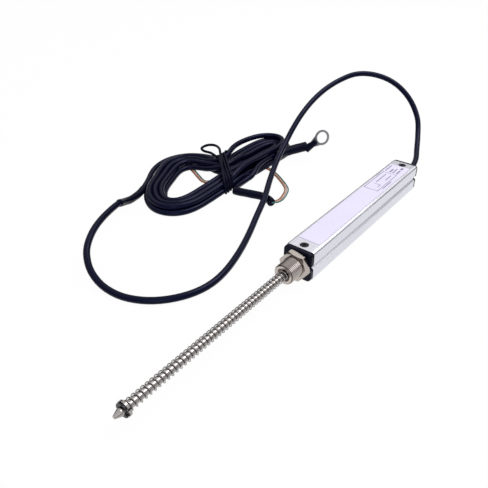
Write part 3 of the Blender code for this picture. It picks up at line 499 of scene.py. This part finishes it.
# %% Hank tie
TIE_RADIUS = 0.95
TIE_SPACING = 2.0
WAIST_CENTRE = Vector((3.3, -103.2, 0))
WAIST_ACROSS = Vector((cos(radians(50)), sin(radians(50)), 0))
TIE_TURNS = 4
TIE_STEPS = 40
WAIST_REACH = 22


def waist_outline(offset):
    """The tight outline round the strands in a plane through the waist, as points of the tie's middle line."""
    along = Vector((-WAIST_ACROSS.y, WAIST_ACROSS.x, 0))
    plane_point = WAIST_CENTRE + along * offset
    crossings = []
    for first, second in zip(hank_points, hank_points[1:]):
        a, b = (first - plane_point).dot(along), (second - plane_point).dot(along)
        if a * b < 0:
            cut = first + (second - first) * (a / (a - b))
            local = ((cut - plane_point).dot(WAIST_ACROSS), cut.z)
            if abs(local[0]) < WAIST_REACH:
                crossings.append(local)
    middle_across = sum(c[0] for c in crossings) / len(crossings)
    middle_up = sum(c[1] for c in crossings) / len(crossings)
    reach = CABLE_RADIUS / MM + TIE_RADIUS
    outline = []
    for step in range(TIE_STEPS):
        angle = tau * step / TIE_STEPS + pi / 2
        way = (cos(angle), sin(angle))
        farthest = max((c[0] - middle_across) * way[0] + (c[1] - middle_up) * way[1] for c in crossings)
        outline.append((angle, farthest + reach))
    points = []
    for step, (angle, support) in enumerate(outline):
        slope = (outline[(step + 1) % TIE_STEPS][1] - outline[step - 1][1]) / (2 * tau / TIE_STEPS)
        across = middle_across + support * cos(angle) - slope * sin(angle)
        up = middle_up + support * sin(angle) + slope * cos(angle)
        points.append(plane_point + WAIST_ACROSS * across + Vector((0, 0, max(up, TIE_RADIUS + 0.1))))
    return points


tie_points = []
for turn in range(TIE_TURNS):
    first = waist_outline((1.5 - turn) * TIE_SPACING)
    second = waist_outline((0.5 - turn) * TIE_SPACING)
    for step, (a, b) in enumerate(zip(first, second)):
        tie_points.append(a.lerp(b, step / TIE_STEPS))
SPARE_LOOP = [(-2.5, -113.5, 16), (-9.5, -121, 16), (-11, -127, 16), (-8.6, -131.7, 15.4), (-4.5, -133.5, 14),
              (-3.5, -130, 13), (-4, -124, 13), (-3, -117, 12)]
spare = [Vector(place) for place in SPARE_LOOP]
tie_line = smooth_route(tie_points[::2] + spare, 1.2)
tie_path = [point * MM for point in tie_line]
hank_tie = swept("twist_tie", tie_path, lambda share, angle: TIE_RADIUS * MM, sides=16)
heights = [point.z for point in tie_line]
print("tie points:", len(tie_line), "top", round(max(heights), 1), "low", round(min(heights), 1))

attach(cable_skin, BODY)
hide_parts("cable", "cable_hank")
for piece, node in ((cable_sleeve, "cable_sleeve"), (signal_sleeve, "signal_sleeve"),
                    (ring_sleeve, "ring_sleeve"), (hank_tie, "hank_tie")):
    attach(piece, BODY)
    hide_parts(node)
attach(ring_boot, BODY)
for colour, wire in core_wires.items():
    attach(wire, BODY)
    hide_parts(f"core_wire_{colour}")

# %% [markdown]
# The return spring is drawn wire, wound in a steady pitch with its end turns closed up to sit flat.
# It follows a rule, so Geometry Nodes make it: a line of points is wound round the rod by a little arithmetic
# and swept by a circle. Its sizes are named inputs, which makes it easy to try another wire or pitch.

# %% Helpers for geometry trees


def geometry_tree(name, inputs):
    """A tree with named number inputs, and a helper that does arithmetic in it."""
    tree = bpy.data.node_groups.new(name, "GeometryNodeTree")
    for title, value in inputs.items():
        kind = "NodeSocketInt" if isinstance(value, int) else "NodeSocketFloat"
        socket = tree.interface.new_socket(title, in_out="INPUT", socket_type=kind)
        socket.default_value = value
    tree.interface.new_socket("Geometry", in_out="OUTPUT", socket_type="NodeSocketGeometry")
    source = add_node(tree, "NodeGroupInput")
    return tree, source.outputs


def math(tree, operation, first, second=0.0):
    """One step of arithmetic."""
    return add_node(tree, "ShaderNodeMath", {0: first, 1: second}, operation=operation).outputs[0]


def finish_tree(tree, geometry, finish):
    """Smooth, give a finish, make the instances real and hand the result out."""
    smooth = add_node(tree, "GeometryNodeSetShadeSmooth", {"Geometry": geometry})
    real = add_node(tree, "GeometryNodeRealizeInstances", {"Geometry": smooth.outputs[0]})
    dressed = add_node(tree, "GeometryNodeSetMaterial", {"Geometry": real.outputs[0], "Material": finish})
    add_node(tree, "NodeGroupOutput", {0: dressed.outputs[0]})


def grown_mesh(name, tree, values, crease=None):
    """Run a tree on an empty mesh with its inputs set by identifier, and keep the plain result."""
    seed = bpy.data.objects.new(name, bpy.data.meshes.new(name))
    bpy.context.scene.collection.objects.link(seed)
    step = seed.modifiers.new("grow", "NODES")
    step.node_group = tree
    for item in tree.interface.items_tree:
        if item.in_out == "INPUT" and item.name in values:
            step[item.identifier] = values[item.name]
    bpy.context.view_layer.update()
    graph = bpy.context.evaluated_depsgraph_get()
    mesh = bpy.data.meshes.new_from_object(seed.evaluated_get(graph))
    seed.modifiers.clear()
    seed.data = mesh
    if crease:
        mesh.set_sharp_from_angle(angle=radians(crease))
    return seed


print("geometry helpers ready")

# %% [markdown]
# Finishes come next, one for each real material of the object, because the grown pieces need theirs at once.
# Every comment says what the making of that surface gives the eye, and every pattern has a real size.

# %% Metal finishes
finishes = {}


def round_place(tree, centre_z=9.0):
    """Distance from the rod's axis and place along it, in millimetres, for lathe marks that run round."""
    coordinates = add_node(tree, "ShaderNodeTexCoord")
    parts = add_node(tree, "ShaderNodeSeparateXYZ", {0: coordinates.outputs["Object"]})
    along = add_node(tree, "ShaderNodeMath", {0: parts.outputs["X"], 1: 1 / MM}, operation="MULTIPLY")
    across = add_node(tree, "ShaderNodeMath", {0: parts.outputs["Y"], 1: 1 / MM}, operation="MULTIPLY")
    up = add_node(tree, "ShaderNodeMath", {0: parts.outputs["Z"], 1: 1 / MM, 2: -centre_z},
                  operation="MULTIPLY_ADD")
    flat = add_node(tree, "ShaderNodeCombineXYZ", {"X": across.outputs[0], "Y": up.outputs[0]})
    reach = add_node(tree, "ShaderNodeVectorMath", {0: flat.outputs[0]}, operation="LENGTH")
    place = add_node(tree, "ShaderNodeCombineXYZ", {"X": along.outputs[0], "Y": reach.outputs["Value"]})
    return place.outputs[0]


def metal(name, slot, colours, roughness, marks, mark_mm, depth_mm, spread=0.08):
    """A metal whose colour, roughness and relief follow one field of marks."""
    finish, tree, shader = new_finish(name, roughness, metallic=1.0)
    if marks == "turned":
        place = round_place(tree)
    elif marks == "drawn":
        place = place_of(tree, stretch=(60, 1, 1))
    else:
        place = place_of(tree)
    field = grain(tree, place, mark_mm).outputs["Fac"]
    tree.links.new(blend_colours(tree, field, *colours), shader.inputs["Base Color"])
    rough = span(tree, field, 0.3, 0.7, roughness - spread, roughness + spread)
    tree.links.new(rough, shader.inputs["Roughness"])
    relief(tree, field, depth_mm, shader)
    finishes[slot] = finish
    return finish


# Extruded and etched aluminium under a clear anodic film: satin, with die lines along the length.
metal("clear_anodised_extrusion", "housing", ("#D2D2DC", "#E8E8F0"), 0.36, "drawn", 0.45, 0.01)
# Brass turned on a lathe and nickel plated: warm grey, bright, with fine rings.
metal("nickel_plated_turning", "nickel", ("#9C938D", "#CFC6C0"), 0.17, "turned", 0.25, 0.006)
# The same plating on the thread, with painted shade that darkens the roots of the thread.
threaded = metal("nickel_plated_thread", "thread", ("#A39A95", "#D6CDC8"), 0.2, "turned", 0.25, 0.006)
tree = threaded.node_tree
shader = tree.nodes["Principled BSDF"]
ROOT_STARTS = (5.36, 5.4)
ROOT_ENDS = (5.5, 5.9)
reach = add_node(tree, "ShaderNodeSeparateXYZ", {0: round_place(tree)}).outputs["Y"]
root_shade_mask = add_node(tree, "ShaderNodeMath", {0: span(tree, reach, *ROOT_STARTS, 0, 1),
                                            1: span(tree, reach, *ROOT_ENDS, 1, 0)}, operation="MULTIPLY")
# Painted shade: the base colour turns near-black brown in the thread's roots, where shade falls.
painted_root_shade = add_node(tree, "ShaderNodeMix", {"Factor": root_shade_mask.outputs[0]}, data_type="RGBA")
tree.links.new(shader.inputs["Base Color"].links[0].from_socket, painted_root_shade.inputs["A"])
painted_root_shade.inputs["B"].default_value = linear("#2A2523")
tree.links.new(painted_root_shade.outputs["Result"], shader.inputs["Base Color"])
# Sintered bronze: brown, dull and finely pitted.
metal("sintered_bronze", "bronze", ("#7E6744", "#A88B60"), 0.45, "cast", 0.15, 0.02)
# Ground stainless rod: hard and bright, with grinding rings finer than the eye can part.
metal("ground_stainless", "steel", ("#8F8B89", "#B3AFAD"), 0.16, "turned", 0.3, 0.002, spread=0.04)
# Drawn spring wire: nearly polished by the die.
metal("bright_drawn_wire", "spring", ("#8F8A8A", "#B5B1B1"), 0.13, "cast", 0.6, 0.002, spread=0.04)
# Black oxide on steel: dark blue-grey with a faint oil gloss.
metal("black_oxide_steel", "dark_steel", ("#26262A", "#3C3C41"), 0.32, "cast", 0.3, 0.004)
# Gilded spring bronze of the wiper fingers.
metal("gilded_spring_bronze", "wiper", ("#C9B27E", "#E0CC9C"), 0.24, "drawn", 0.2, 0.002)
# Tin plate over copper: soft, slightly cloudy.
metal("tinned_copper", "tinned", ("#8C8C92", "#B4B4B9"), 0.3, "cast", 0.8, 0.01)
print("metals:", sorted(finishes))

# %% Plastic finishes


def plastic(name, slot, colours, roughness, lump_mm, depth_mm, spread=0.06, **sockets):
    """A moulded or extruded plastic: even colour, a slight cloud and a fine skin."""
    finish, tree, shader = new_finish(name, roughness, **sockets)
    place = place_of(tree)
    cloud = grain(tree, place, lump_mm * 12, detail=3.0).outputs["Fac"]
    skin = grain(tree, place, lump_mm, detail=1.0).outputs["Fac"]
    tree.links.new(blend_colours(tree, cloud, *colours), shader.inputs["Base Color"])
    rough = span(tree, cloud, 0.3, 0.7, roughness - spread, roughness + spread)
    tree.links.new(rough, shader.inputs["Roughness"])
    relief(tree, skin, depth_mm, shader)
    finishes[slot] = finish
    return finish


# The black plastics mirror the light a little bluer than it is.
COOL_SHEEN = linear("#C8CEFF")
# Moulded nylon with glass in it: black, with a fine dull skin.
plastic("moulded_black_nylon", "cap", ("#03040F", "#080A1A"), 0.4, 0.3, 0.012, specular_ior_level=0.15,
        specular_tint=COOL_SHEEN)
# Extruded PVC jacket: blue-black with a narrow cool sheen and the soft waver of the extruder.
plastic("extruded_pvc_jacket", "cable", ("#03051A", "#060824"), 0.26, 1.6, 0.02, specular_ior_level=0.14,
        specular_tint=COOL_SHEEN)
# Shrunk polyolefin: a little duller, wrinkled by what lies under it.
plastic("shrunk_polyolefin", "sleeve", ("#030414", "#07081C"), 0.4, 1.1, 0.05, specular_ior_level=0.12,
        specular_tint=COOL_SHEEN)
# Natural acetal of the carriage: milky and slippery.
plastic("natural_acetal", "acetal", ("#D9D7D2", "#E6E4E0"), 0.34, 0.5, 0.006)
# Glass epoxy board under a green mask.
plastic("masked_epoxy_board", "board", ("#285339", "#36694B"), 0.4, 0.4, 0.01)
# Printed polyester film: nearly white, cool, with a soft gloss.
plastic("polyester_film_label", "label", ("#DEDAF2", "#E8E4FA"), 0.34, 2.5, 0.006)
# Thin PVC covers of the cores.
plastic("brown_core_cover", "brown", ("#7C4F30", "#935F3C"), 0.4, 0.5, 0.006)
plastic("pink_core_cover", "pink", ("#C0937F", "#D3A797"), 0.4, 0.5, 0.006)
plastic("green_core_cover", "green", ("#2F625F", "#417B77"), 0.4, 0.5, 0.006)
# Screen printing ink: flat, cool grey.
plastic("screen_ink", "ink", ("#77738C", "#878399"), 0.5, 0.5, 0.004)
print("all finishes:", len(finishes))

# %% [markdown]
# Now the spring is grown. Its closed end turns lie flat on the bushing and on the washer.

# %% Grow the return spring
SPRING_ENDS = (78.5, 191.4)
SPRING_VALUES = {"Start": SPRING_ENDS[0] * MM, "Length": (SPRING_ENDS[1] - SPRING_ENDS[0]) * MM,
                 "Coil Radius": 2.6 * MM, "Wire Radius": 0.3 * MM, "Axis Height": 9.0 * MM,
                 "Closed Pitch": 0.66 * MM, "Open Turns": 43.0}
STEPS_A_TURN = 30
TURNS_DRAWN = 45


def spring_tree(finish):
    """A line of points wound into a spring with one closed turn at each end, then swept by the wire."""
    tree, given = geometry_tree("wind_spring", {**SPRING_VALUES, "Points": TURNS_DRAWN * STEPS_A_TURN + 1})
    line = add_node(tree, "GeometryNodeMeshLine", {"Count": given["Points"]})
    curve = add_node(tree, "GeometryNodeMeshToCurve", {"Mesh": line.outputs["Mesh"]})
    index = add_node(tree, "GeometryNodeInputIndex").outputs[0]
    turns = math(tree, "DIVIDE", index, float(STEPS_A_TURN))
    all_turns = math(tree, "ADD", given["Open Turns"], 2.0)
    closed_length = math(tree, "MULTIPLY", all_turns, given["Closed Pitch"])
    extra = math(tree, "SUBTRACT", given["Length"], closed_length)
    opened = math(tree, "DIVIDE", math(tree, "SUBTRACT", turns, 1.0), given["Open Turns"])
    opened = add_node(tree, "ShaderNodeClamp", {"Value": opened}).outputs[0]
    along = math(tree, "ADD", math(tree, "MULTIPLY", turns, given["Closed Pitch"]),
                 math(tree, "MULTIPLY", opened, extra))
    along = math(tree, "ADD", along, given["Start"])
    angle = math(tree, "MULTIPLY", turns, tau)
    across = math(tree, "MULTIPLY", math(tree, "COSINE", angle), given["Coil Radius"])
    up = math(tree, "ADD", math(tree, "MULTIPLY", math(tree, "SINE", angle), given["Coil Radius"]),
              given["Axis Height"])
    place = add_node(tree, "ShaderNodeCombineXYZ", {"X": along, "Y": across, "Z": up})
    wound = add_node(tree, "GeometryNodeSetPosition",
                     {"Geometry": curve.outputs[0], "Position": place.outputs[0]})
    wire = add_node(tree, "GeometryNodeCurvePrimitiveCircle",
                    {"Resolution": 12, "Radius": given["Wire Radius"]})
    swept_wire = add_node(tree, "GeometryNodeCurveToMesh", {"Curve": wound.outputs[0],
                                                             "Profile Curve": wire.outputs["Curve"],
                                                             "Fill Caps": True})
    finish_tree(tree, swept_wire.outputs[0], finish)
    return tree


spring = grown_mesh("coil_spring", spring_tree(finishes["spring"]), SPRING_VALUES, crease=50)
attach(spring, BODY)
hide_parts("return_spring")
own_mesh(spring)
print("spring:", len(spring.data.polygons), "faces")

# %% [markdown]
# The bushing is threaded M12 by 1. A thread is a ramp wound round a cylinder, so it is one grid whose rows
# climb by one pitch in a full turn: the crest and the root then lie exactly on the grid's lines.
# The rest of the bushing is turned from a profile and joined to it, so that the whole is one closed body.

# %% Grow the thread
THREAD_VALUES = {"Start": 69.1 * MM, "Length": 12.8 * MM, "Pitch": 1.0 * MM, "Outer Radius": 6.0 * MM,
                 "Depth": 0.6 * MM, "Axis Height": 9.0 * MM, "Chamfer": 0.65 * MM}
THREAD_COLUMNS = 96
ROWS_A_PITCH = 8
PITCHES_DRAWN = 14


def thread_tree(finish):
    """A sheared grid rolled into a thread, cut to length and chamfered at both ends."""
    rows = PITCHES_DRAWN * ROWS_A_PITCH
    tree, given = geometry_tree("roll_thread",
                                {**THREAD_VALUES, "Rows": rows + 1, "Columns": THREAD_COLUMNS + 1})
    grid = add_node(tree, "GeometryNodeMeshGrid", {"Size X": 1.0, "Size Y": 1.0, "Vertices X": given["Rows"],
                                                   "Vertices Y": given["Columns"]})
    grid_place = add_node(tree, "GeometryNodeInputPosition").outputs[0]
    spot = add_node(tree, "ShaderNodeSeparateXYZ", {0: grid_place})
    row = math(tree, "MULTIPLY", math(tree, "ADD", spot.outputs["X"], 0.5), float(PITCHES_DRAWN))
    turn = math(tree, "ADD", spot.outputs["Y"], 0.5)
    raw = math(tree, "MULTIPLY", math(tree, "SUBTRACT", math(tree, "ADD", row, turn), 1.0), given["Pitch"])
    along = math(tree, "MINIMUM", math(tree, "MAXIMUM", raw, 0.0), given["Length"])
    pitches = math(tree, "DIVIDE", along, given["Pitch"])
    phase = math(tree, "FRACT", math(tree, "SUBTRACT", math(tree, "ADD", pitches, 2.0), turn))
    crest = math(tree, "ABSOLUTE", math(tree, "SUBTRACT", phase, 0.5))
    dip = math(tree, "MULTIPLY", math(tree, "MULTIPLY", crest, 2.0), given["Depth"])
    start_cut = math(tree, "SUBTRACT", given["Chamfer"], along)
    end_cut = math(tree, "SUBTRACT", given["Chamfer"], math(tree, "SUBTRACT", given["Length"], along))
    cut = math(tree, "MAXIMUM", math(tree, "MAXIMUM", start_cut, end_cut), dip)
    reach = math(tree, "SUBTRACT", given["Outer Radius"], cut)
    angle = math(tree, "MULTIPLY", turn, tau)
    forth = math(tree, "ADD", along, given["Start"])
    across = math(tree, "MULTIPLY", math(tree, "COSINE", angle), reach)
    up = math(tree, "ADD", math(tree, "MULTIPLY", math(tree, "SINE", angle), reach), given["Axis Height"])
    place = add_node(tree, "ShaderNodeCombineXYZ", {"X": forth, "Y": across, "Z": up})
    rolled = add_node(tree, "GeometryNodeSetPosition", {"Geometry": grid.outputs["Mesh"],
                                                        "Position": place.outputs[0]})
    merged = add_node(tree, "GeometryNodeMergeByDistance", {"Geometry": rolled.outputs[0], "Distance": 2e-6})
    finish_tree(tree, merged.outputs[0], finish)
    return tree


thread = grown_mesh("bushing_thread", thread_tree(finishes["nickel"]), THREAD_VALUES)
print("thread:", len(thread.data.polygons), "faces")

# %% Turn the rest of the bushing


def turned_rings(work, profile, columns, height):
    """Rings of a lathe profile of (place along, radius) pairs, in millimetres, joined by faces."""
    rings = []
    for along, radius in profile:
        rings.append([work.verts.new((along * MM, radius * MM * cos(tau * step / columns),
                                      height * MM + radius * MM * sin(tau * step / columns)))
                      for step in range(columns)])
    for first, second in zip(rings, rings[1:]):
        for step in range(columns):
            after = (step + 1) % columns
            work.faces.new((first[step], first[after], second[after], second[step]))


BUSHING_PROFILE = [
    (81.9, 5.35), (81.9, 4.1), (81.85, 3.95), (81.5, 3.7), (77.9, 3.7), (77.9, 2.6), (74.9, 2.6), (74.9, 3.6),
    (57.5, 3.6), (57.5, 4.3), (57.7, 4.5), (69.1, 4.5), (69.1, 5.35),
]
work = bmesh.new()
work.from_mesh(thread.data)
turned_rings(work, BUSHING_PROFILE, THREAD_COLUMNS, 9.0)
bmesh.ops.remove_doubles(work, verts=work.verts, dist=4e-6)
bmesh.ops.recalc_face_normals(work, faces=work.faces)
open_edges = sum(1 for edge in work.edges if not edge.is_manifold)
work.to_mesh(thread.data)
work.free()
thread.data.shade_smooth()
thread.data.set_sharp_from_angle(angle=radians(30))
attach(thread, BODY)
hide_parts("threaded_bushing")
print("bushing:", len(thread.data.polygons), "faces, open edges:", open_edges)

# %% [markdown]
# The label is a plain film with generic marks: a frame, a few bars and a small arrow in grey ink.
# Ink stands a few hundredths of a millimetre above the film, so the marks are thin plates.

# %% Print on the label
INK_LEVEL = 18.25
INK_HEIGHT = 0.03
# Each bar's two corners on the film, in millimetres.
PRINT_BARS = [
    (-45.0, -5.9, -17.0, -5.5), (-17.4, -5.9, -17.0, 3.9), (-45.0, 3.5, -17.0, 3.9),
    (-45.0, -5.9, -44.6, 3.9), (-42.0, -2.9, -28.0, -2.3), (-42.0, 0.8, -34.0, 1.4),
    (-26.0, -2.8, -25.6, 1.6), (-26.0, 1.2, -22.0, 1.6), (-52.0, -2.4, -46.5, -1.4),
    (-53.5, -0.2, -46.5, 0.6), (-52.5, 2.4, -46.5, 3.4), (-57.0, -5.6, -47.0, -4.9),
    (-42.0, -6.7, -36.0, -6.4), (-34.0, 4.6, -22.0, 5.2), (-57.0, 1.9, -54.0, 3.6),
]
work = bmesh.new()
for x0, y0, x1, y1 in PRINT_BARS:
    middle = Vector(((x0 + x1) / 2, (y0 + y1) / 2, INK_LEVEL + INK_HEIGHT / 2)) * MM
    size = Vector((x1 - x0, y1 - y0, INK_HEIGHT)) * MM
    bmesh.ops.create_cube(work, size=1.0, matrix=Matrix.Translation(middle) @ Matrix.Diagonal((*size, 1)))
print_mesh = bpy.data.meshes.new("label_print")
work.to_mesh(print_mesh)
work.free()
label_print = bpy.data.objects.new("label_print", print_mesh)
bpy.context.scene.collection.objects.link(label_print)
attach(label_print, BODY)
print("print marks:", len(PRINT_BARS))

# %% [markdown]
# Last, every piece wears its finish. The CAD nodes keep their meshes, and only their material changes.

# %% Dress every piece
slots = {part["node"]: part["material_slot"] for part in frame["record"]["subparts"]}
for node, item in frame["nodes"].items():
    item.data.materials.clear()
    item.data.materials.append(finishes[slots[node]])
own = {cable_skin: "cable", cable_sleeve: "sleeve", signal_sleeve: "sleeve", ring_sleeve: "sleeve",
       ring_boot: "sleeve", hank_tie: "sleeve", label_print: "ink", thread: "thread", spring: "spring"}
own.update({wire: colour for colour, wire in core_wires.items()})
for item, slot in own.items():
    item.data.materials.clear()
    item.data.materials.append(finishes[slot])
print("dressed:", len(slots), "nodes and", len(own), "own pieces")
